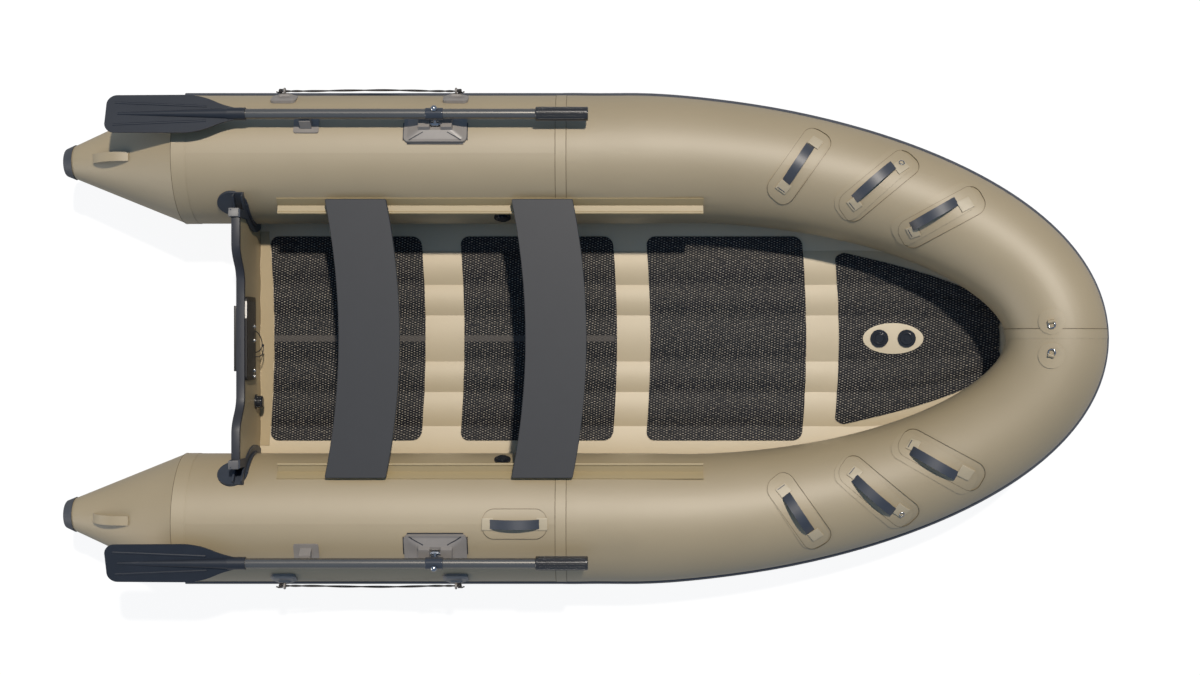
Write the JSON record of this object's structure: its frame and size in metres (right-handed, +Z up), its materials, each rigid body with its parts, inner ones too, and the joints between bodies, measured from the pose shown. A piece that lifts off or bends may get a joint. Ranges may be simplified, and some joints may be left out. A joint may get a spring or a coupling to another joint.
{
  "type": "air-deck inflatable tender",
  "caption": "Open inflatable tender with a U-shaped buoyancy tube, crowned air deck, plywood motor transom, sliding bench planks and stowed oars in rowlocks.",
  "frame": {"origin": "on the ground under the middle of the boat's length and beam", "axes": "+X to the bow, +Y to port, +Z up"},
  "size_m": [3.6277, 1.7486, 0.5681],
  "materials": {
    "tube_fabric": "coated, satin",
    "floor_fabric": "coated, satin",
    "patch_fabric": "coated, satin",
    "cap_rubber": "satin",
    "strake_rubber": "satin",
    "mat_mesh": "coarse woven mesh",
    "valve_plastic": "moulded",
    "transom_plywood": "painted plywood",
    "plate_plastic": "ribbed",
    "holder_rubber": "satin",
    "bench_board": "painted, satin",
    "fitting_plastic": "moulded",
    "pin_steel": "brushed",
    "shaft_alloy": "satin",
    "blade_plastic": "moulded",
    "grip_rubber": "ribbed",
    "rope_fibre": "braided",
    "webbing": "woven webbing",
    "ring_steel": "polished"
  },
  "bodies": {
    "hull": {"aft_tube_port": "tube_fabric", "aft_tube_starboard": "tube_fabric", "bow_tube_port": "tube_fabric", "bow_tube_starboard": "tube_fabric", "stern_cone_port": "tube_fabric", "stern_cone_starboard": "tube_fabric", "end_cap_port": "cap_rubber", "end_cap_starboard": "cap_rubber", "rubbing_strake_port": "strake_rubber", "rubbing_strake_starboard": "strake_rubber", "air_floor": "floor_fabric", "keel_strip": "strake_rubber", "floor_mat_aft": "mat_mesh", "floor_mat_middle": "mat_mesh", "floor_mat_fore": "mat_mesh", "floor_mat_bow": "mat_mesh", "floor_valve_patch": "patch_fabric", "floor_inflation_valve": "valve_plastic", "floor_relief_valve": "valve_plastic", "transom_board": "transom_plywood", "motor_plate_inner": "plate_plastic", "motor_plate_outer": "plate_plastic", "transom_holder_port": "holder_rubber", "transom_holder_starboard": "holder_rubber", "drain_valve": "valve_plastic", "bench_rail_port": "patch_fabric", "bench_rail_starboard": "patch_fabric", "tube_valves": "valve_plastic", "rowlock_base_port": "fitting_plastic", "rowlock_base_starboard": "fitting_plastic", "oar_clip_port": "fitting_plastic", "oar_clip_starboard": "fitting_plastic", "rope_holders_port": "holder_rubber", "rope_holders_starboard": "holder_rubber", "grab_line_port": "rope_fibre", "grab_line_starboard": "rope_fibre", "bow_handle_straps_port": "webbing", "bow_handle_straps_starboard": "webbing", "bow_handle_patches_port": "patch_fabric", "bow_handle_patches_starboard": "patch_fabric", "side_handle_strap": "webbing", "side_handle_patch": "patch_fabric", "cone_handles": "webbing", "bow_ring_patches": "patch_fabric", "bow_rings": "ring_steel"},
    "bench_aft": {"bench_aft": "bench_board", "bench_aft_shoes": "fitting_plastic"},
    "bench_fore": {"bench_fore": "bench_board", "bench_fore_shoes": "fitting_plastic"},
    "rowlock_port": {"rowlock_swivel_port": "pin_steel"},
    "oar_port": {"oar_shaft_port": "shaft_alloy", "oar_collar_port": "fitting_plastic", "oar_grip_port": "grip_rubber", "oar_blade_port": "blade_plastic"},
    "rowlock_starboard": {"rowlock_swivel_starboard": "pin_steel"},
    "oar_starboard": {"oar_shaft_starboard": "shaft_alloy", "oar_collar_starboard": "fitting_plastic", "oar_grip_starboard": "grip_rubber", "oar_blade_starboard": "blade_plastic"}
  },
  "joints": [
    {"name": "bench_aft_slide", "type": "slide", "parent": "hull", "child": "bench_aft", "axis": [1, 0, 0], "range_m": [-0.15, 0.4]},
    {"name": "bench_fore_slide", "type": "slide", "parent": "hull", "child": "bench_fore", "axis": [1, 0, 0], "range_m": [-0.4, 0.42]},
    {"name": "rowlock_tilt_port", "type": "hinge", "parent": "hull", "child": "rowlock_port", "pos_m": [-0.49, 0.73024, 0.4479], "axis": [1, 0, 0], "range_deg": [0, 45]},
    {"name": "oar_swing_port", "type": "hinge", "parent": "rowlock_port", "child": "oar_port", "pos_m": [-0.49, 0.73024, 0.4479], "axis": [0, -0.7071, -0.7071], "range_deg": [0, 130]},
    {"name": "rowlock_tilt_starboard", "type": "hinge", "parent": "hull", "child": "rowlock_starboard", "pos_m": [-0.49, -0.73024, 0.4479], "axis": [-1, 0, 0], "range_deg": [0, 45]},
    {"name": "oar_swing_starboard", "type": "hinge", "parent": "rowlock_starboard", "child": "oar_starboard", "pos_m": [-0.49, -0.73024, 0.4479], "axis": [0, -0.7071, 0.7071], "range_deg": [0, 130]}
  ]
}
